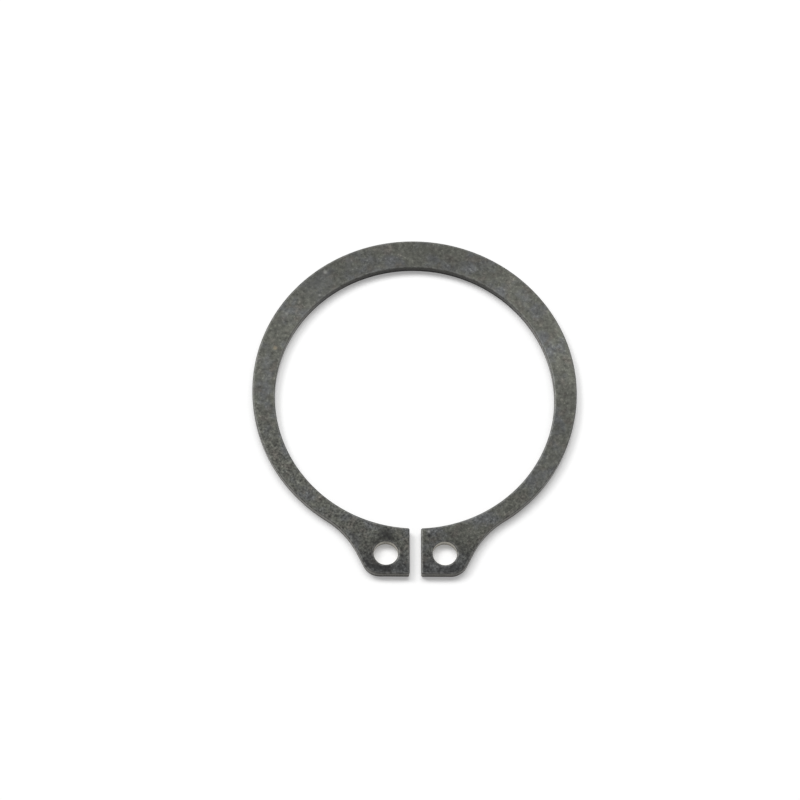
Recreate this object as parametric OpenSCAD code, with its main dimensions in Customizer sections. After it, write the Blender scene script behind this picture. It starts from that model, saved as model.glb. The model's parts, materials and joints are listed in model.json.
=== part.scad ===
// External retaining ring: one flat piece, blanked from spring steel strip.
// The axis of the shaft is Z, the lower face lies on Z = 0, and the gap between the lugs points to -Y.

/* [Beam] */
// Inside diameter of the free ring, which grips the floor of the shaft's groove
free_inside_d = 35.23; // [30:0.01:42]
// Thickness of the strip
thickness = 1.27; // [0.8:0.01:2]
// Radial width of the beam opposite the gap, where it is widest
beam_max = 3.66; // [3:0.01:4.6]
// Radial width that the tapered beam would have at the gap
beam_min = 2.02; // [1.5:0.01:2.6]

/* [Lugs] */
// Height of the lugs, from the seat to their straight outer edge
lug_height = 6; // [5.4:0.05:7.5]
// Width across both lugs at the outer edge, before the corners are rounded
lug_width = 11.6; // [10.6:0.1:14]
// Angle between the outer edge of a lug and its flank
flank_angle = 63.5; // [56:0.5:72]
// Radius of the outer corners of the lugs
corner_r = 2.3; // [0.6:0.1:2.6]
// Radius of the hollow that carries the flank of a lug into the beam
root_r = 11; // [5:0.5:15]
// Width of the gap between the lugs
gap_w = 1.43; // [0.8:0.01:2.4]

/* [Plier holes] */
// Diameter of the holes that take the tips of the pliers
hole_d = 3.05; // [2:0.01:3.4]
// Distance between the centres of the two holes
hole_spacing = 7.34; // [6.6:0.02:8]
// Distance from the outer edge of the lugs to the centres of the holes
hole_inset = 2.72; // [2.3:0.02:3.2]

/* [Edges] */
// Width of the edge that blanking draws down on the upper face
roll_w = 0.26; // [0.1:0.01:0.4]
// Depth of that rolled edge
roll_h = 0.12; // [0.05:0.01:0.3]
// Break that tumbling leaves on the sharper edge of the lower face
deburr = 0.06; // [0.03:0.01:0.15]

/* [Hidden] */
$fn = 180;

// Tangent curves run this far into each other, so that they cross cleanly
bite = 0.005;
// Cutting shapes run this far past the faces that they cut
past = 0.1;
// The lugs are cut from a blank that is this much larger than their outline
spare = 0.1;
cut_depth = spare + past;
roll_slope = roll_w / roll_h;

// The beam lies between the seat and an outer circle that is shifted away from the gap
seat_r = free_inside_d / 2;
outer_r = seat_r + (beam_max + beam_min) / 2;
beam_centre = [0, (beam_max - beam_min) / 2];

// The flank of the right-hand lug starts at the outer corner and rises along flank_along
lug_y = -(seat_r + lug_height);
lug_corner = [lug_width / 2, lug_y];
flank_along = [cos(flank_angle), sin(flank_angle)];
flank_out = [sin(flank_angle), -cos(flank_angle)];

// The hollow touches the flank and the outer circle: its centre is root_r from both
root_gap = root_r - bite;
root_reach = outer_r + root_gap;
root_origin = lug_corner + root_gap * flank_out - beam_centre;
root_lean = root_origin * flank_along;
root_run = -root_lean - sqrt(root_lean ^ 2 - root_origin * root_origin + root_reach ^ 2);
root_foot = lug_corner + root_run * flank_along;
root_centre = root_foot + root_gap * flank_out;

// The rounded corner touches the outer edge and the flank, and leaves some straight flank above it
corner_share = 0.75;
corner_turn = tan(flank_angle / 2);
corner_out = [corner_turn, -1];
corner_fit = min(corner_r, corner_share * root_run / corner_turn);
corner_gap = corner_fit - bite;
corner_centre = lug_corner + [-corner_gap * corner_turn, corner_gap];

// Half of a blanked section: straight wall at r, drawn in above and broken below, and carried past both faces
function wall_inwards(r) = [
    [r - deburr - past, -past],
    [r, deburr],
    [r, thickness - roll_h],
    [r - roll_w - past * roll_slope, thickness + past]
];

// The same wall seen from the open side, where the edges flare outwards
function wall_outwards(r) = [
    [r + deburr + past, -past],
    [r, deburr],
    [r, thickness - roll_h],
    [r + roll_w + past * roll_slope, thickness + past]
];

function mirrored(p) = [-p.x, p.y];

// Round cutter for the seat, the holes and the hollows
module flared_cutter(r) {
    rotate_extrude()
        polygon(concat([[0, -past]], wall_outwards(r), [[0, thickness + past]]));
}

// Round form with a blanked edge, longer than the strip is thick
module edged_disc(r) {
    rotate_extrude()
        polygon(concat([[0, -past]], wall_inwards(r), [[0, thickness + past]]));
}

// Straight cutter along X that leaves a wall with blanked edges, with the steel on its +Y side
module edge_cutter(length) {
    rotate([90, 0, 90])
        linear_extrude(length)
            polygon(concat([[-cut_depth, -past]], wall_outwards(0), [[-cut_depth, thickness + past]]));
}

// Cutter that takes the sharp corner of the right-hand lug down to its radius
module corner_cutter() {
    beyond = corner_fit + cut_depth;
    difference() {
        translate([0, 0, -cut_depth])
            linear_extrude(thickness + 2 * cut_depth)
                polygon([
                    corner_centre,
                    corner_centre - [0, beyond],
                    lug_corner + cut_depth * corner_out,
                    corner_centre + beyond * flank_out
                ]);
        translate(corner_centre)
            edged_disc(corner_fit);
    }
}

// What is cut from the right-hand side of the lugs: the flank, the corner and the hollow
module lug_side_cutters() {
    translate(lug_corner)
        rotate(flank_angle)
            translate([-cut_depth, 0, 0])
                edge_cutter(root_run + cut_depth);
    corner_cutter();
    translate(root_centre)
        flared_cutter(root_r);
}

// Both lugs in one, before the gap parts them, with the webs that reach back into the beam
module lugs() {
    right_side = [lug_corner + spare * corner_out, root_foot + spare * flank_out, root_centre];
    left_side = [for (i = [len(right_side) - 1:-1:0]) mirrored(right_side[i])];
    difference() {
        linear_extrude(thickness)
            polygon(concat(right_side, [beam_centre], left_side));
        translate([-lug_width / 2 - cut_depth, lug_y, 0])
            edge_cutter(lug_width + 2 * cut_depth);
        lug_side_cutters();
        mirror([1, 0, 0])
            lug_side_cutters();
    }
}

// Disc of the beam's outer circle, cut to the thickness of the strip
module beam_disc() {
    rotate_extrude()
        polygon([
            [0, 0],
            [outer_r - deburr, 0],
            [outer_r, deburr],
            [outer_r, thickness - roll_h],
            [outer_r - roll_w, thickness],
            [0, thickness]
        ]);
}

// Slot with blanked edges that opens the ring between the lugs
module gap_cutter() {
    half = wall_outwards(gap_w / 2);
    other_half = [for (i = [len(half) - 1:-1:0]) mirrored(half[i])];
    rotate([90, 0, 0])
        linear_extrude(past - lug_y)
            polygon(concat(half, other_half));
}

module retaining_ring() {
    color("#5c5d57")
        difference() {
            union() {
                translate(beam_centre)
                    beam_disc();
                lugs();
            }
            flared_cutter(seat_r);
            for (side = [-1, 1])
                translate([side * hole_spacing / 2, lug_y + hole_inset, 0])
                    flared_cutter(hole_d / 2);
            gap_cutter();
        }
}

retaining_ring();
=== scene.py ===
# %% [markdown]
# # An external retaining ring
# A retaining ring is one flat piece of spring steel: blanked from strip, tumbled, hardened and phosphated.
# Its whole look is an exact outline, the soft edge that the punch leaves, and a dark, mottled coat. The
# lesson makes those three in turn, round the packed solid that gives the sizes.

# %% Load the packed ring
import json
import math

import bpy
import numpy as np
from mathutils import Matrix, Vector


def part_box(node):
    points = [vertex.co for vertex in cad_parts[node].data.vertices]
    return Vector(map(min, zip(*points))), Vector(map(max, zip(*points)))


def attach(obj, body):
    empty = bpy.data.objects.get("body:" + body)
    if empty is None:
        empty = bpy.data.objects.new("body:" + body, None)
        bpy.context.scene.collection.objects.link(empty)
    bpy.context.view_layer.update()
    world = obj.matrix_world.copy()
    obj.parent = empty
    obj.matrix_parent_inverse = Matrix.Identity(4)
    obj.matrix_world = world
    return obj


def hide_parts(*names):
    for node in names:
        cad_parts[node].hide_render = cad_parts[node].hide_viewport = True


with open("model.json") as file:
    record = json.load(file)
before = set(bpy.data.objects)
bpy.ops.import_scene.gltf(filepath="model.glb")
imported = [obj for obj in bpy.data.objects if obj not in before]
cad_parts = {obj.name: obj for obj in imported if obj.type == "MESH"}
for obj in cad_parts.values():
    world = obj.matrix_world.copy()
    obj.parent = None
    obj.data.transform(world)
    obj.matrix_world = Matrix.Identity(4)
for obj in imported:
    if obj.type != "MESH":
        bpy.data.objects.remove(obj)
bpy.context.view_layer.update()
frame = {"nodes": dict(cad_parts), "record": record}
print("nodes:", sorted(frame["nodes"]))

# %% [markdown]
# ## Sizes
# Blender works in metres and a ring maker in millimetres, so one factor stands between them. The seat, the
# holes, the strip and the reach of the lugs are read from the frame, so the dressed ring can't drift away
# from the solid. What the frame doesn't state, such as the slant of a flank, is named here once.

# %% Sizes from the frame and from the drawing
MM = 0.001
lowest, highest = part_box("retaining_ring")
mounts = {mount["name"]: mount for mount in frame["record"]["mounts"]}

seat_r = mounts["shaft_seat"]["dims"]["r_mm"] * MM
hole_r = mounts["plier_hole_right"]["dims"]["r_mm"] * MM
hole_centre = np.array(mounts["plier_hole_right"]["pos_m"][:2])
thickness = highest.z - lowest.z
outer_r = highest.x
beam_centre = np.array([0.0, highest.y - outer_r])
lug_y = lowest.y

lug_width = 11.6 * MM
flank_angle = math.radians(63.5)
corner_r = 2.3 * MM
root_r = 11 * MM
gap_w = 1.43 * MM
gap_corner_r = 0.22 * MM
print(f"seat radius {seat_r / MM:.3f} mm, strip {thickness / MM:.2f} mm, lugs reach {-lug_y / MM:.2f} mm")

# %% [markdown]
# ## The outline as lines and arcs
# The outline runs along the seat, down the gap, round a lug and up the back of the beam. Each stretch is a
# straight line or an arc that passes smoothly into the next. It could be traced with a Bezier curve, but
# arcs and lines are what the punch was ground to, and they can be moved inwards without changing form.

# %% Helpers for stretches of the outline
def arc(centre, radius, start, end, count):
    """Points at centre + radius * (cos a, sin a), with a even from start up to, but not including, end."""
    a = start + (end - start) * np.arange(count) / count
    return np.asarray(centre) + radius * np.stack([np.cos(a), np.sin(a)], axis=1)


def line(start, end, count):
    """Points at start + share * (end - start), with share even from 0 up to, but not including, 1."""
    share = np.arange(count)[:, None] / count
    return np.asarray(start) + (np.asarray(end) - np.asarray(start)) * share


def bearing(vector):
    """Angle of a plane vector, counted from +X."""
    return math.atan2(vector[1], vector[0])


print("a quarter arc in three steps:", np.round(arc((0, 0), 1, 0, math.pi / 2, 3), 2).tolist())

# %% [markdown]
# The flank of a lug meets the back of the beam in a large hollow. The centre of the hollow lies one hollow's
# radius from both, and that gives a quadratic for the length of the straight flank.

# %% Centres of the hollow and of the rounded corner
flank_along = np.array([math.cos(flank_angle), math.sin(flank_angle)])
flank_out = np.array([math.sin(flank_angle), -math.cos(flank_angle)])
lug_corner = np.array([lug_width / 2, lug_y])

root_origin = lug_corner + root_r * flank_out - beam_centre
root_lean = root_origin @ flank_along
root_run = -root_lean - math.sqrt(root_lean**2 - root_origin @ root_origin + (outer_r + root_r) ** 2)
root_foot = lug_corner + root_run * flank_along
root_centre = root_foot + root_r * flank_out
corner_centre = lug_corner + corner_r * np.array([-math.tan(flank_angle / 2), 1])
print("hollow centre", np.round(root_centre / MM, 3), "mm; flank runs", round(root_run / MM, 3), "mm")

# %% [markdown]
# The ring is the same on both sides of the gap, so only the right-hand half is worked out, and the left is
# its mirror image. For the edge, the half outline is needed again and again, each time a little further
# inside the steel, so it is a function of that inset. Arcs then keep their centres and change their radii.
# The back of the beam comes first. It starts at a seam in the hollow, where the beam is parted from the lug.

# %% The back of the beam at any inset
SEAM_SHARE = 0.4
HOLLOW_COUNT, BACK_COUNT = 40, 150
hollow_start = bearing(-flank_out)
hollow_end = bearing(beam_centre - root_centre)
hollow_seam = hollow_start + SEAM_SHARE * (hollow_end - hollow_start)
back_start = bearing(root_centre - beam_centre)


def back_of_beam(inset):
    """Stations on two arcs, from the seam in the hollow and over the outer circle to its highest point."""
    hollow = arc(root_centre, root_r + inset, hollow_seam, hollow_end, HOLLOW_COUNT)
    back = arc(beam_centre, outer_r - inset, back_start, math.pi / 2, BACK_COUNT)
    top = [[0, beam_centre[1] + outer_r - inset]]
    return np.vstack([hollow, back, top])


back_rays = np.arctan2(*back_of_beam(0).T[::-1])
beam_stations = len(back_rays)
print(beam_stations, "stations on the back of the beam")

# %% [markdown]
# The rest runs from the top of the seat to the gap and round the lug. On the beam, each station of the seat
# lies on the ray of one on the back, so that the face between them can be ruled straight across. The small
# rounds beside the gap are too tight to keep their centres: they shrink to almost nothing and their centres
# move, as a mitre does.

# %% The half outline at any inset
LEAST_ROUND = 0.01 * MM
SEAT_COUNT, TIP_COUNT, GAP_COUNT, FOOT_COUNT = 60, 8, 36, 24
CORNER_COUNT, FLANK_COUNT, LUG_HOLLOW_COUNT = 28, 12, 28
seat_rays = back_rays[:0:-1]


def half_outline(inset):
    """Stations of the right-hand half, moved into the steel by inset: arcs and lines from the top of the seat
    to the gap, round the lug, and over the back of the beam."""
    seat, gap, foot = seat_r + inset, gap_w / 2 + inset, lug_y + inset
    corner = corner_r - inset
    tip = max(gap_corner_r - inset, LEAST_ROUND)
    inner_tip = np.array([gap + tip, -math.sqrt((seat + tip) ** 2 - (gap + tip) ** 2)])
    outer_tip = np.array([gap + tip, foot + tip])
    return np.vstack(
        [
            seat * np.stack([np.cos(seat_rays), np.sin(seat_rays)], axis=1),
            arc((0, 0), seat, back_rays[0], bearing(inner_tip), SEAT_COUNT),
            arc(inner_tip, tip, bearing(-inner_tip), math.pi, TIP_COUNT),
            line((gap, inner_tip[1]), (gap, outer_tip[1]), GAP_COUNT),
            arc(outer_tip, tip, math.pi, 1.5 * math.pi, TIP_COUNT),
            line((outer_tip[0], foot), (corner_centre[0], foot), FOOT_COUNT),
            arc(corner_centre, corner, -0.5 * math.pi, bearing(flank_out), CORNER_COUNT),
            line(corner_centre + corner * flank_out, root_foot - inset * flank_out, FLANK_COUNT),
            arc(root_centre, root_r + inset, hollow_start, hollow_seam, LUG_HOLLOW_COUNT),
            back_of_beam(inset),
        ]
    )


half_count = len(half_outline(0))
print(half_count, "stations on half the outline")

# %% [markdown]
# ## The section that the punch leaves
# Blanking draws the upper edge down into a soft roll, shears a smooth wall below it and breaks the last
# part away, a little inside the line. Tumbling then takes off the burr. A Bevel modifier would round every
# edge alike, so the section is drawn instead, as pairs of inset and height, and carried round the outline
# and round both holes. The roll is a quarter of an ellipse and the tumbled edge a quarter of a circle. One
# more pair on each face lies further in and keeps the flat part flat when shaded.

# %% The edge section
ROLL_W, ROLL_H = 0.26 * MM, 0.12 * MM
ROLL_COUNT = 10
BURR_R = 0.07 * MM
BURR_STEP = 3
BREAK_IN = 0.025 * MM
BREAK_SHARES = np.array([0, 0, 0.6, 1])
WALL_SHARES = np.array([0.62, 0.45, 0.30, 0.16])
FACE_MARGIN = 0.08 * MM

turn = np.linspace(0, math.pi / 2, ROLL_COUNT)
roll = np.stack([ROLL_W * (1 - np.sin(turn)), thickness - ROLL_H * (1 - np.cos(turn))], axis=1)
wall = np.stack([BREAK_IN * BREAK_SHARES, thickness * WALL_SHARES], axis=1)
burr_turn = turn[::BURR_STEP]
burr = np.stack([BREAK_IN + BURR_R * (1 - np.cos(burr_turn)), BURR_R * (1 - np.sin(burr_turn))], axis=1)
upper_flat = [ROLL_W + FACE_MARGIN, thickness]
lower_flat = [burr[-1, 0] + FACE_MARGIN, 0]
section = np.vstack([upper_flat, roll, wall, burr, lower_flat])
print(len(section), "points on the edge section")

# %% [markdown]
# The coat has to know where on the section it is. So each pair also gets its wear, which is strongest in
# the middle of the roll and half that on the tumbled edge, and its share of the blanked wall, which is 1
# between those two and fades to 0 on them.

# %% Wear and wall along the section
BURR_WEAR = 0.5
WALL_END = 0.4 * ROLL_H
roll_wear = np.sin(np.linspace(0, math.pi, ROLL_COUNT))
burr_wear = BURR_WEAR * np.sin(2 * burr_turn)
wear = np.concatenate([[0], roll_wear, np.zeros(len(wall)), burr_wear, [0]])
wall_heights = [0, BURR_R, thickness - ROLL_H, thickness - WALL_END]
wall_share = np.interp(section[:, 1], wall_heights, [0, 1, 1, 0])
print("wear up to", wear.max().round(2), "and", int((wall_share == 1).sum()), "points wholly on the wall")

# %% [markdown]
# ## From outline and section to surfaces
# Every surface is a grid of points. The edge is the section carried along the outline. A face of the beam is
# ruled straight across, from its back to its seat, and the face of a lug from the lug's rim to its hole. A
# point carries more than its place: how worn the edge is there, whether it lies on the blanked wall, and how
# far along the edge it is. They ride along as extra coordinates, so they stay with their points.

# %% Grids and their cells
def edge_grid(loops):
    """The point of station i and section pair k: station i of the loop at inset(k), at height(k), with its
    wear(k), its wall share(k) and the length along the loop from its first station to station i."""
    plan = np.stack(loops, axis=1)
    step = np.linalg.norm(np.diff(plan[:, 0], axis=0), axis=1)
    length = np.concatenate([[0], np.cumsum(step)])
    facts = [lowest.z + section[:, 1], wear, wall_share]
    columns = [np.broadcast_to(fact, plan.shape[:2]) for fact in facts]
    columns.append(np.broadcast_to(length[:, None], plan.shape[:2]))
    return np.concatenate([plan, np.stack(columns, axis=2)], axis=2)


def ruled(first, second, shares):
    """The point of station i and share v: (1 - v) * first(i) + v * second(i)."""
    v = np.asarray(shares)[None, :, None]
    return (1 - v) * first[:, None, :] + v * second[:, None, :]


def cells_of(grid, turned=False):
    """The four corners of every cell of a grid, in the order (i, k), (i, k + 1), (i + 1, k + 1), (i + 1, k).
    With turned, the order is reversed, which turns the cells over."""
    corners = [grid[:-1, :-1], grid[:-1, 1:], grid[1:, 1:], grid[1:, :-1]]
    cells = np.stack(corners, axis=2).reshape(-1, 4, grid.shape[2])
    return cells[:, ::-1] if turned else cells


def mirror_image(cells):
    """The cells at -x, with their corners in the other order so that they still face outwards."""
    image = cells[:, ::-1].copy()
    image[:, :, 0] *= -1
    return image


print("a grid of 3 by 4 points has", len(cells_of(np.zeros((3, 4, 2)))), "cells")

# %% The edge of the right-hand half
edge = edge_grid([half_outline(inset) for inset in section[:, 0]])
seat_seam, back_seam = beam_stations - 1, half_count - beam_stations
print("edge grid:", edge.shape[0], "by", edge.shape[1])

# %% [markdown]
# The rim of a lug is its own part of the edge, closed by the seam across the beam. The stations of the hole
# lie on the rays from the hole's centre to the rim, so the ruled cells between them never cross.

# %% The edge of the plier hole
ACROSS = np.linspace(0, 1, 9)
UPPER, LOWER = 0, -1


def lug_rim(column):
    """The closed rim of the lug's face, and the seam from the back of the beam to its seat as part of it."""
    seam = ruled(edge[back_seam, column][None], edge[seat_seam, column][None], ACROSS)[0]
    return np.vstack([edge[seat_seam:back_seam, column], seam])


rays = lug_rim(UPPER)[:, :2] - hole_centre
rays /= np.linalg.norm(rays, axis=1)[:, None]
hole_edge = edge_grid([hole_centre + (hole_r + inset) * rays for inset in section[:, 0]])
print("hole edge grid:", hole_edge.shape[0], "by", hole_edge.shape[1])

# %% The two faces
def face_cells(column):
    """Cells of the beam's face and of the lug's face, in one column of the edge grid."""
    beam = ruled(edge[back_seam:, column], edge[seat_seam::-1, column], ACROSS)
    lug = ruled(lug_rim(column), hole_edge[:, column], ACROSS)
    return np.concatenate([cells_of(beam, turned=True), cells_of(lug, turned=True)])


right_half = np.concatenate(
    [cells_of(edge), cells_of(hole_edge, turned=True), face_cells(UPPER), face_cells(LOWER)[:, ::-1]]
)
cells = np.concatenate([right_half, mirror_image(right_half)])
print(len(cells), "cells")

# %% [markdown]
# Neighbouring grids share their border points. numpy merges them all at once: the places are rounded to
# whole nanometres, and each place that is left becomes one vertex.

# %% One closed mesh
PER_METRE = 1e9
FACTS = {"edge_wear": 3, "blanked_wall": 4, "along_edge": 5}


def closed_mesh(name, cells):
    """Mesh of the cells, in which corners at the same place are one vertex that carries the edge's facts."""
    corners = cells.reshape(-1, cells.shape[2])
    places = np.round(corners[:, :3] * PER_METRE).astype(np.int64)
    _, first, index = np.unique(places, axis=0, return_index=True, return_inverse=True)
    mesh = bpy.data.meshes.new(name)
    mesh.from_pydata(corners[first, :3], [], index.reshape(-1, 4))
    for fact, column in FACTS.items():
        layer = mesh.attributes.new(fact, "FLOAT", "POINT")
        layer.data.foreach_set("value", corners[first, column].astype(np.float32))
    mesh.polygons.foreach_set("use_smooth", np.ones(len(mesh.polygons), dtype=bool))
    mesh.update()
    return mesh


def add_object(name, data):
    """A new object at the origin, in the scene's own collection."""
    thing = bpy.data.objects.new(name, data)
    bpy.context.scene.collection.objects.link(thing)
    return thing


ring = add_object("spring_steel_ring", closed_mesh("spring_steel_ring", cells))
print(len(ring.data.vertices), "vertices,", len(ring.data.polygons), "faces")

# %% [markdown]
# ## The phosphate coat
# Phosphating grows a skin of tiny crystals on the steel, and oil makes it a dark satin grey. Close up it is
# never even: crystals speckle it, the bath leaves bluish, olive and brownish patches, and the lugs, which
# hang lowest in the bath, come out darkest. An image could show that, but noises at their own sizes stay
# sharp from any distance and need no file. They read Object coordinates, which are metres here.

# %% [markdown]
# The coat needs many nodes, and each takes several lines to add, to set and to link. Short calls keep the
# recipe readable. First come those that do sums, with numbers or with other nodes.

# %% Short calls for sums
class NodeSums:
    """A material's node tree, with one short call for each kind of sum that a finish needs here."""

    def __init__(self, name):
        self.material = bpy.data.materials.new(name)
        self.material.use_nodes = True
        self.tree = self.material.node_tree
        self.shader = self.tree.nodes["Principled BSDF"]
        self.place = self.tree.nodes.new("ShaderNodeTexCoord").outputs["Object"]

    def put(self, value, socket):
        """Links a node's output to a socket, or sets the socket to a number or a colour."""
        if isinstance(value, bpy.types.NodeSocket):
            self.tree.links.new(value, socket)
        else:
            socket.default_value = value

    def ranged(self, value, span, to, shape="LINEAR"):
        """Carries one span of numbers evenly to another, and goes no further."""
        node = self.tree.nodes.new("ShaderNodeMapRange")
        node.interpolation_type = shape
        self.put(value, node.inputs["Value"])
        for socket, number in zip(("From Min", "From Max", "To Min", "To Max"), (*span, *to)):
            node.inputs[socket].default_value = number
        return node.outputs["Result"]

    def fade(self, value, span, to=(0, 1)):
        """The same in one smooth step, which starts and ends gently."""
        return self.ranged(value, span, to, "SMOOTHSTEP")

    def math(self, operation, a, b=0):
        """One step of arithmetic."""
        node = self.tree.nodes.new("ShaderNodeMath")
        node.operation = operation
        self.put(a, node.inputs[0])
        self.put(b, node.inputs[1])
        return node.outputs["Value"]

    def product(self, first, *others):
        """All the values multiplied."""
        for other in others:
            first = self.math("MULTIPLY", first, other)
        return first

    def vector(self, operation, a, b):
        """One step of arithmetic on vectors; SCALE takes a number second and DISTANCE gives one."""
        node = self.tree.nodes.new("ShaderNodeVectorMath")
        node.operation = operation
        self.put(a, node.inputs[0])
        self.put(b, node.inputs["Scale" if operation == "SCALE" else 1])
        return node.outputs["Value" if operation == "DISTANCE" else "Vector"]

    def point(self, x, y):
        """The point with the given x and y, at height 0."""
        node = self.tree.nodes.new("ShaderNodeCombineXYZ")
        self.put(x, node.inputs["X"])
        self.put(y, node.inputs["Y"])
        return node.outputs["Vector"]


print("calls for sums:", [call for call in vars(NodeSums) if not call.startswith("_")])

# %% [markdown]
# A finish is a tree that can do such sums, and it can also draw noise, read what the mesh carries and mix
# colours. The coat is the first finish. The three coordinates of a place are kept apart for it, because most
# of its shades follow just one of them.

# %% Short calls for patterns and colours
class Finish(NodeSums):
    """A node tree for sums, with one more short call for noise, for the mesh's numbers and for colours."""

    def noise(self, size, detail=2.0, rough=0.5, at=None):
        """Noise with features of about the given size, in metres."""
        node = self.tree.nodes.new("ShaderNodeTexNoise")
        node.inputs["Scale"].default_value = 1 / size
        node.inputs["Detail"].default_value = detail
        node.inputs["Roughness"].default_value = rough
        self.put(at or self.place, node.inputs["Vector"])
        return node.outputs["Fac"]

    def mix(self, share, a, b):
        """Colour a turned into colour b by a share. The node has an A and a B for each kind of data."""
        node = self.tree.nodes.new("ShaderNodeMix")
        node.data_type = "RGBA"
        self.put(share, node.inputs["Factor"])
        for socket, colour in (("A", a), ("B", b)):
            self.put(colour, next(i for i in node.inputs if i.name == socket and i.type == "RGBA"))
        return next(o for o in node.outputs if o.type == "RGBA")

    def attribute(self, name):
        """A number that the mesh carries."""
        node = self.tree.nodes.new("ShaderNodeAttribute")
        node.attribute_name = name
        return node.outputs["Fac"]


coat = Finish("phosphate_coat")
axes = coat.tree.nodes.new("ShaderNodeSeparateXYZ")
coat.put(coat.place, axes.inputs["Vector"])
across_ring, along_ring, height = axes.outputs
print("coat reads", coat.place.name, "coordinates")

# %% [markdown]
# ### Tints of the bath
# The ground is an olive grey. Patches of one or two millimetres lean to blue, and so do the feet of the
# lugs. Smaller patches lean to brown. Each patch is a stretch of a noise that is carried to a share from 0
# to 1, and a Mix node turns one tint into the next by that share.

# %% Tints
OLIVE_GREY = (0.0762, 0.0782, 0.0655, 1)
BLUE_GREY = (0.0775, 0.0807, 0.0818, 1)
BROWN_GREY = (0.0824, 0.0765, 0.0660, 1)
BLUE_PATCH, BLUE_STRETCH = 2.6 * MM, (0.44, 0.66)
LUG_FEET, FEET_SHARE = (-19.5 * MM, -23 * MM), 0.9
BROWN_PATCH, BROWN_STRETCH, BROWN_SHARE = 1.4 * MM, (0.50, 0.70), 0.8

patches = coat.fade(coat.noise(BLUE_PATCH, detail=3), BLUE_STRETCH)
bluish = coat.math("MAXIMUM", patches, coat.fade(along_ring, LUG_FEET, (0, FEET_SHARE)))
brownish = coat.fade(coat.noise(BROWN_PATCH, detail=3), BROWN_STRETCH, (0, BROWN_SHARE))
tint = coat.mix(brownish, coat.mix(bluish, OLIVE_GREY, BLUE_GREY), BROWN_GREY)
print(len(coat.tree.nodes), "nodes with the tints")

# %% [markdown]
# ### Crystals and clouds
# The speckle is the crystals, some tenths of a millimetre across, and a few of them catch more light than
# the rest. Slow clouds lie over them. All of these, and the shades that follow, are factors on the tint: 1
# leaves it as it is. A noise runs from 0 to 1 but seldom leaves its middle, so that is the stretch to use.

# %% Crystals and clouds
NOISE_MIDDLE = (0.3, 0.7)
SPECKLE, SPECKLE_STRETCH, SPECKLE_LIGHT = 0.66 * MM, (0.25, 0.80), (0.31, 1.75)
CRYSTAL, CRYSTAL_STRETCH, CRYSTAL_LIGHT = 0.28 * MM, (0.57, 0.78), (1.0, 1.7)
CLOUD, CLOUD_LIGHT = 3.0 * MM, (0.80, 1.20)

speckle = coat.ranged(coat.noise(SPECKLE, detail=4, rough=0.82), SPECKLE_STRETCH, SPECKLE_LIGHT)
crystals = coat.ranged(coat.noise(CRYSTAL, detail=1), CRYSTAL_STRETCH, CRYSTAL_LIGHT)
clouds = coat.ranged(coat.noise(CLOUD, detail=3, rough=0.6), NOISE_MIDDLE, CLOUD_LIGHT)
print(len(coat.tree.nodes), "nodes with crystals and clouds")

# %% [markdown]
# ### Painted sheen across the ring, darker far side
# A lighter band crosses the ring behind its middle. It is painted sheen: a broad reflection of the lamps,
# laid into the coat's colour. It is stronger on the right, and its far border lies aslant. The far side is a
# little darker than the rest. Vertex colours could hold such shades too, but x and y already say where they
# lie.

# %% Painted sheen and far side
SHEEN_START, SHEEN_END = (-3 * MM, 4 * MM), (10 * MM, 20 * MM)
SHEEN_SLANT = 0.20
SHEEN_SIDES, SHEEN_GAIN = (-18 * MM, 18 * MM), (0.24, 0.42)
FAR_SIDE, FAR_SHADE = (11 * MM, 19 * MM), 0.88

# Painted sheen: a lighter band of reflected lamp light, laid into the coat's colour.
sheen_near = coat.fade(along_ring, SHEEN_START)
slanted = coat.math("SUBTRACT", along_ring, coat.product(across_ring, SHEEN_SLANT))
sheen_far = coat.fade(slanted, SHEEN_END, (1, 0))
sheen_gain = coat.ranged(across_ring, SHEEN_SIDES, SHEEN_GAIN)
painted_sheen = coat.math("ADD", coat.product(sheen_near, sheen_far, sheen_gain), 1.0)
far_shade = coat.fade(along_ring, FAR_SIDE, (1, FAR_SHADE))
print(len(coat.tree.nodes), "nodes with band and far side")

# %% [markdown]
# ### Dark, blotched lugs
# Towards their feet the lugs grow darker, the left one more than the right, and blotches of about a
# millimetre lie on them. Beside the gap they stay a little lighter.

# %% Lugs
LUG_REACH = (-15 * MM, -22 * MM)
LUG_SIDES, LUG_DARKNESS = (-4 * MM, 4 * MM), (0.31, 0.22)
BLOTCH, BLOTCH_STRETCH, BLOTCH_DARKNESS = 1.0 * MM, (0.38, 0.60), (0.36, 0)
GAP_SIDE, GAP_SHARE = (1 * MM, 3.5 * MM), 0.76

lug_depth = coat.fade(along_ring, LUG_REACH)
lug_side = coat.fade(across_ring, LUG_SIDES, LUG_DARKNESS)
blotches = coat.fade(coat.noise(BLOTCH, detail=4, rough=0.7), BLOTCH_STRETCH, BLOTCH_DARKNESS)
from_gap = coat.math("ABSOLUTE", across_ring)
beside_gap = coat.fade(from_gap, GAP_SIDE, (GAP_SHARE, 1))
lug_dark = coat.product(lug_depth, coat.math("ADD", lug_side, blotches), beside_gap)
lug_shade = coat.math("SUBTRACT", 1.0, lug_dark)
print(len(coat.tree.nodes), "nodes with the lugs")

# %% [markdown]
# ### Coarser grain
# On the lugs and at the near left the grain is coarser, and along the rest of the near side it is so by
# half. The coarse grain is one more factor. It swings about 1, as far as its place on the ring allows.

# %% Coarse grain, and all factors together
NEAR_SIDE, NEAR_SIDE_SHARE = (-4 * MM, -15 * MM), 0.5
NEAR_LEFT, NEAR_LEFT_SHARE = (-10 * MM, -19 * MM), 0.85
NEAR_LEFT_SLANT = 0.60
COARSE_GRAIN, COARSE_SWING = 0.30 * MM, (-0.95, 0.95)

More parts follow.
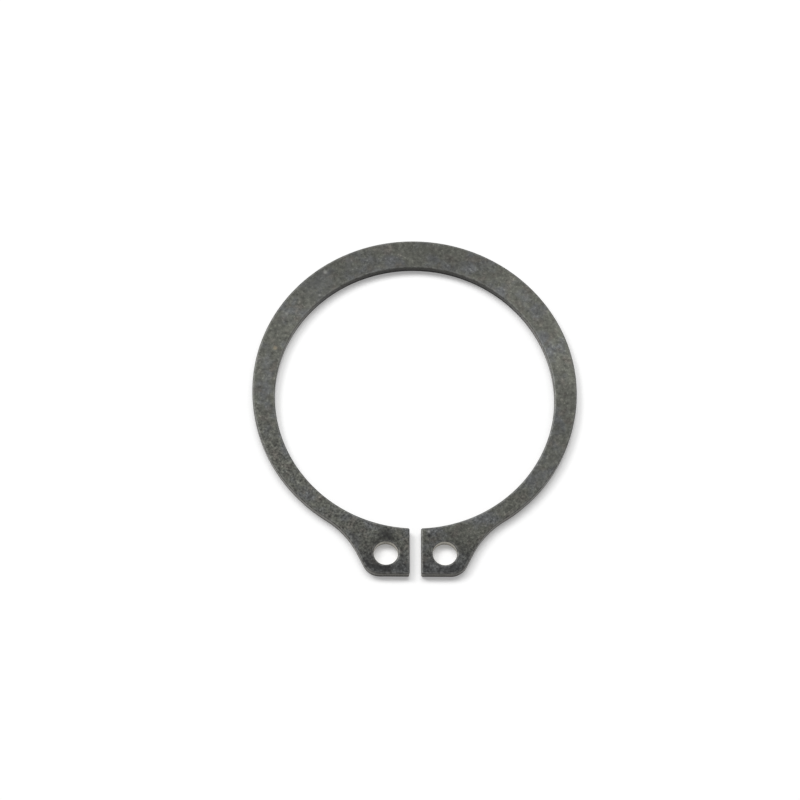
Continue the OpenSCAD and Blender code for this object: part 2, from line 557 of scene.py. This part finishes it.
to_left = coat.math("ADD", along_ring, coat.product(across_ring, NEAR_LEFT_SLANT))
near_side = coat.fade(along_ring, NEAR_SIDE, (0, NEAR_SIDE_SHARE))
near_left = coat.fade(to_left, NEAR_LEFT, (0, NEAR_LEFT_SHARE))
coarse = coat.math("MAXIMUM", lug_depth, coat.math("MAXIMUM", near_side, near_left))
swing = coat.ranged(coat.noise(COARSE_GRAIN, detail=2, rough=0.8), NOISE_MIDDLE, COARSE_SWING)
grain = coat.math("ADD", 1.0, coat.product(coarse, swing))

face_light = coat.product(speckle, crystals, clouds, painted_sheen, far_shade, lug_shade, grain)
face_colour = coat.vector("SCALE", tint, face_light)
print(len(coat.tree.nodes), "nodes with the whole face")

# %% [markdown]
# ### The blanked wall
# The punch burnishes the upper part of the wall and tears the rest, so the wall is barer and glossier than
# the faces and mirrors whatever lies beside it. Fine streaks run down it: a noise that runs with the length
# along the edge, which the mesh carries, and hardly changes with the height. The same streaks make the line
# ragged where the shear ends and the tear begins. Below that line, crumbs roughen the wall.

# %% Streaks and tear
STREAK, STREAK_PACE, STREAK_LIGHT = 0.11 * MM, 0.08, (0.82, 1.18)
TEAR_LINE, TEAR_WANDER = (0.38 * thickness, 0.46 * thickness), (-0.08 * MM, 0.08 * MM)
CRUMB, CRUMB_LIGHT = 0.12 * MM, (0.62, 1.06)

down_the_wall = coat.point(coat.attribute("along_edge"), coat.product(height, STREAK_PACE))
streaks = coat.noise(STREAK, detail=2, at=down_the_wall)
streak_light = coat.ranged(streaks, NOISE_MIDDLE, STREAK_LIGHT)
ragged_height = coat.math("ADD", height, coat.ranged(streaks, NOISE_MIDDLE, TEAR_WANDER))
torn = coat.fade(ragged_height, TEAR_LINE, (1, 0))
crumbs = coat.ranged(coat.noise(CRUMB, detail=2), NOISE_MIDDLE, CRUMB_LIGHT)
torn_light = coat.math("ADD", 1.0, coat.product(torn, coat.math("SUBTRACT", crumbs, 1.0)))
print(len(coat.tree.nodes), "nodes with streaks and tear")

# %% [markdown]
# The seat is a touch darker than the walls outside. Its far part, which faces the viewer, is much darker:
# painted shade for the shadowed paper that the glossy wall mirrors there. The walls at the feet of the lugs
# are a little darker too, as painted shade, for they face away from the lamps. The tips of the pliers have
# rubbed the holes bright. Both holes are the same distance from the middle, so one distance, with the sign
# of x left out, finds them both.

# %% Seat, holes and feet
WALL_STEEL = (0.154, 0.147, 0.131)
SEAT_BORDER = (seat_r + 0.08 * MM, seat_r + 0.40 * MM)
FAR_SEAT, SEAT_SHADE = (8 * MM, 14.5 * MM), (0.95, 0.20)
HOLE_BORDER, PLIED_LIGHT = (hole_r + 0.05 * MM, hole_r + 0.25 * MM), (3.4, 1)
FOOT_BORDER, FOOT_SHADE = (lug_y + 2.5 * MM, lug_y + 0.5 * MM), (1, 0.78)

from_middle = coat.vector("DISTANCE", coat.place, (0, 0, 0))
outside = coat.ranged(from_middle, SEAT_BORDER, (0, 1))
# Painted shade: the far part of the seat faces the viewer and is darkened in colour for the shadowed paper it
# mirrors.
seat_shade = coat.math("MAXIMUM", outside, coat.fade(along_ring, FAR_SEAT, SEAT_SHADE))
from_hole = coat.vector("DISTANCE", coat.point(from_gap, along_ring), (*hole_centre, 0))
plied = coat.ranged(from_hole, HOLE_BORDER, PLIED_LIGHT)
# Painted shade: the walls at the feet of the lugs, which face away from the lamps, are darkened in colour.
foot_shade = coat.fade(along_ring, FOOT_BORDER, FOOT_SHADE)

wall_light = coat.product(streak_light, torn_light, seat_shade, plied, foot_shade)
wall_colour = coat.vector("SCALE", WALL_STEEL, wall_light)
on_wall = coat.attribute("blanked_wall")
ground = coat.mix(on_wall, face_colour, wall_colour)
print(len(coat.tree.nodes), "nodes with faces and wall")

# %% [markdown]
# ### Marks, and edges worn and painted lighter
# A few marks tell one ring from another: pale nicks where others knocked against it, a rusty spot, a bluish
# patch, and films of oil about the plier holes. A mark covers the coat, but a film only darkens it, so that
# its grain shows through. Each is a soft ball round a point of the upper face, with a ragged border.

# %% A ragged spot
RAGGED, RAGGED_SHARES = 0.35 * MM, (0.45, 1.0)
SPOT_CORE = 0.2
ragged = coat.ranged(coat.noise(RAGGED, detail=2), NOISE_MIDDLE, RAGGED_SHARES)


def spot(x_mm, y_mm, radius_mm, strength):
    """Share of a ragged spot: its strength near a point of the upper face, falling to 0 at its radius."""
    away = coat.vector("DISTANCE", coat.place, (x_mm * MM, y_mm * MM, highest.z))
    soft = coat.fade(away, (SPOT_CORE * radius_mm * MM, radius_mm * MM), (strength, 0))
    return coat.product(soft, ragged)


print("a spot is at full strength over", SPOT_CORE, "of its radius")

# %% Oil films on the lugs, as x, y and radius in millimetres, and strength
oil_films = [
    (-3.60, -18.55, 1.45, 0.90),
    (-3.10, -18.95, 0.80, 0.80),
    (-5.00, -19.30, 0.80, 0.50),
    (-5.60, -22.30, 1.20, 0.85),
    (-4.70, -22.75, 0.90, 0.70),
    (-3.75, -22.85, 1.10, 0.90),
    (1.40, -23.05, 1.10, 0.65),
    (3.10, -23.20, 0.90, 0.45),
    (4.80, -22.85, 1.20, 0.55),
    (5.40, -19.95, 0.95, 0.50),
    (4.43, -18.35, 0.60, 0.40),
    (1.81, -18.58, 0.40, 0.90),
]
marked = ground
for film in oil_films:
    marked = coat.vector("SCALE", marked, coat.math("SUBTRACT", 1.0, spot(*film)))
print(len(oil_films), "oil films")

# %% Marks on the upper face, as x, y and radius in millimetres, strength and colour
PALE = (0.300, 0.300, 0.285, 1)
RUSTY = (0.290, 0.245, 0.170, 1)
marks = [
    (-12.30, 14.90, 3.20, 0.45, BLUE_GREY),
    (1.69, -18.05, 0.24, 0.95, PALE),
    (-11.36, 16.87, 0.36, 0.65, PALE),
    (-12.00, 13.69, 0.28, 0.55, PALE),
    (-16.18, 11.06, 0.30, 0.60, PALE),
    (-17.62, 6.41, 0.40, 0.75, RUSTY),
]
for *place_and_size, colour in marks:
    marked = coat.mix(spot(*place_and_size), marked, colour)
print(len(marks), "marks")

# %% [markdown]
# The rolled edge is lighter in broken lengths, partly from rubbed steel and partly as a painted highlight
# along the roll: a noise breaks up the wear that the mesh carries.

# %% Worn edges, with a painted highlight
RUBBED_AND_HIGHLIT_STEEL = (0.22, 0.22, 0.21, 1)
RUB_AND_HIGHLIGHT_LENGTH, RUB_AND_HIGHLIGHT_STRETCH, RUB_AND_HIGHLIGHT_SHARES = 0.6 * MM, (0.38, 0.66), (0.16, 0.68)

worn = coat.attribute("edge_wear")
# Part real wear, part painted highlight: the rolled edge is made lighter in colour.
rubbed_and_highlit = coat.ranged(coat.noise(RUB_AND_HIGHLIGHT_LENGTH, detail=3), RUB_AND_HIGHLIGHT_STRETCH, RUB_AND_HIGHLIGHT_SHARES)
coat.put(coat.mix(coat.product(worn, rubbed_and_highlit), marked, RUBBED_AND_HIGHLIT_STEEL), coat.shader.inputs["Base Color"])
print("base colour is linked:", coat.shader.inputs["Base Color"].is_linked)

# %% [markdown]
# ### Gloss and relief
# The coat is satin, with a little metal showing through it. The wall is the most metallic. Its burnished
# part is the glossiest, its torn part less so, and the rubbed edge lies between. The crystals stand a few
# thousandths of a millimetre proud. Meshed, they would be millions of faces, so a Bump node tilts the
# normals instead.

# %% Gloss and relief
METAL, COAT_SPECULAR = (0.3, 0.9), 0.35
SATIN, SATIN_PATCH = (0.50, 0.64), 0.4 * MM
BURNISH, EDGE_GLOSS = (0.22, 0.08), 0.16
RELIEF, RELIEF_HEIGHT, RELIEF_STRENGTH = 0.22 * MM, 0.008 * MM, 0.4

coat.put(coat.ranged(on_wall, (0, 1), METAL), coat.shader.inputs["Metallic"])
coat.shader.inputs["Specular IOR Level"].default_value = COAT_SPECULAR
satin = coat.ranged(coat.noise(SATIN_PATCH), NOISE_MIDDLE, SATIN)
burnish = coat.product(on_wall, coat.ranged(torn, (0, 1), BURNISH))
gloss = coat.math("MAXIMUM", burnish, coat.product(worn, EDGE_GLOSS))
coat.put(coat.math("SUBTRACT", satin, gloss), coat.shader.inputs["Roughness"])

bump = coat.tree.nodes.new("ShaderNodeBump")
bump.inputs["Strength"].default_value = RELIEF_STRENGTH
bump.inputs["Distance"].default_value = RELIEF_HEIGHT
coat.put(coat.noise(RELIEF, detail=3, rough=0.6), bump.inputs["Height"])
coat.put(bump.outputs["Normal"], coat.shader.inputs["Normal"])
ring.data.materials.append(coat.material)
print(len(coat.tree.nodes), "nodes in the coat")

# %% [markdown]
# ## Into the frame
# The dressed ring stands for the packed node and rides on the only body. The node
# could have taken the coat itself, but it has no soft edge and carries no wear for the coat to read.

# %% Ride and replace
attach(ring, "root")
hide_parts("retaining_ring")
print(ring.name, "rides on root")

# %% [markdown]
# ## Floor
# The ring lies on white paper. Under plain light white paper renders a little below white, so it also glows
# a little, but only for rays from the camera and rays that the object mirrors or bends. More light would
# whiten it too, and would wash out the ring. The shadow stays, because the glow is the smaller part.

# %% A sheet just below the ring
FLOOR_HALF = 1.5
FLOOR_DROP = 0.005 * MM
floor_z = lowest.z - FLOOR_DROP
square = np.array([[-1, -1], [1, -1], [1, 1], [-1, 1]]) * FLOOR_HALF
floor_mesh = bpy.data.meshes.new("floor")
floor_mesh.from_pydata(np.column_stack([square, np.full(len(square), floor_z)]), [], [(0, 1, 2, 3)])
floor = add_object("floor", floor_mesh)
print("floor at", round(floor_z / MM, 3), "mm")

# %% White paper
WHITE = (1, 1, 1, 1)
PAPER_WHITE = (0.88, 0.88, 0.88, 1)
PAPER_ROUGHNESS = 0.9
GLOW = 0.20
paper = Finish("white_paper")
paper.shader.inputs["Base Color"].default_value = PAPER_WHITE
paper.shader.inputs["Roughness"].default_value = PAPER_ROUGHNESS
paper.shader.inputs["Specular IOR Level"].default_value = 0
paper.shader.inputs["Emission Color"].default_value = WHITE
look = paper.tree.nodes.new("ShaderNodeLightPath").outputs
seen = paper.math("MAXIMUM", look["Is Camera Ray"], look["Is Glossy Ray"])
seen = paper.math("MAXIMUM", seen, look["Is Transmission Ray"])
paper.put(paper.product(seen, GLOW), paper.shader.inputs["Emission Strength"])
floor_mesh.materials.append(paper.material)
print("paper glows by", GLOW)

# %% [markdown]
# ## Light
# An even sky and a wide lamp high behind the ring give most of the light. Two smaller lamps stand lower
# behind it, a stronger one on the left and a weaker one on the right, so that short soft shadows fall
# towards the viewer. Sun lamps would be simpler, but the shadow of an area lamp softens away from the edge,
# as in a studio. A lamp's share is the part of a white floor's brightness that it gives, and its power
# follows from the share, the distance and the rise. Lamps and sky make 1 in all, so that a colour renders
# about as it is written.

# %% Sky
SKY = 0.32
world = bpy.data.worlds.new("studio")
bpy.context.scene.world = world
world.use_nodes = True
background = world.node_tree.nodes["Background"]
background.inputs["Color"].default_value = WHITE
background.inputs["Strength"].default_value = SKY
print("share of the sky:", SKY)

# %% Where a lamp or a camera stands
def facing(turn, rise):
    """Right, up and backwards of what looks at the origin from a turn about Z, counted from +X, and a rise:
    backwards is (cos turn * cos rise, sin turn * cos rise, sin rise), and right is level."""
    level = np.array([math.cos(turn), math.sin(turn), 0])
    backwards = level * math.cos(rise) + np.array([0, 0, math.sin(rise)])
    right = np.array([-level[1], level[0], 0])
    return right, np.cross(backwards, right), backwards


def stand(right, up, backwards, place):
    """Matrix that turns an object's X, Y and Z to the three directions and puts it at a place."""
    matrix = np.eye(4)
    matrix[:3, :3] = np.column_stack([right, up, backwards])
    matrix[:3, 3] = place
    return Matrix(matrix.tolist())


print("from +X, backwards is", facing(0, 0)[2])

# %% Lamps
LAMP_DISTANCE = 1.5


def soft_lamp(name, turn_deg, rise_deg, size, share):
    """Square lamp that gives a white floor the stated share of full brightness. Its power is
    pi^2 * distance^2 * share / sin(rise)."""
    turn, rise = math.radians(turn_deg), math.radians(rise_deg)
    right, up, backwards = facing(turn, rise)
    lamp = bpy.data.lights.new(name, "AREA")
    lamp.shape = "SQUARE"
    lamp.size = size
    lamp.energy = math.pi**2 * LAMP_DISTANCE**2 * share / math.sin(rise)
    add_object(name, lamp).matrix_world = stand(right, up, backwards, backwards * LAMP_DISTANCE)
    print(f"{name}: {lamp.energy:.2f} W")


soft_lamp("lamp_left", turn_deg=142, rise_deg=50, size=0.50, share=0.27)
soft_lamp("lamp_right", turn_deg=48, rise_deg=58, size=0.50, share=0.07)
soft_lamp("lamp_behind", turn_deg=95, rise_deg=64, size=0.70, share=0.34)

# %% [markdown]
# ## Camera
# The camera looks steeply down from the side of the lugs through a long lens. Its numbers come from fitting
# the circles of the ring: rise, turn about the axis, a slight roll, and how far the axis lies from the
# middle of the picture. A shifted lens could frame the ring too, but other views would keep the shift, so
# the camera itself stands a little aside.

# %% Camera
RISE, TURN, ROLL = math.radians(68.665), math.radians(-94.45), math.radians(4.619)
DISTANCE = 528 * MM
AXIS_RIGHT, AXIS_UP = 1.826 * MM, 0.0145 * MM
PIXELS_PER_MM = 7.923
PICTURE_PIXELS = 800
SENSOR_MM = 36

level_right, level_up, backwards = facing(TURN, RISE)
right = math.cos(ROLL) * level_right + math.sin(ROLL) * level_up
up = -math.sin(ROLL) * level_right + math.cos(ROLL) * level_up

lens = bpy.data.cameras.new("camera")
lens.sensor_width = SENSOR_MM
lens.lens = SENSOR_MM * PIXELS_PER_MM * DISTANCE / MM / PICTURE_PIXELS
camera = add_object("camera", lens)
camera.matrix_world = stand(right, up, backwards, backwards * DISTANCE - AXIS_RIGHT * right - AXIS_UP * up)
bpy.context.scene.camera = camera
bpy.context.scene.view_settings.view_transform = "Standard"
print(f"lens {lens.lens:.1f} mm")

# %% [markdown] The dressed ring takes its sizes from the packed ring.
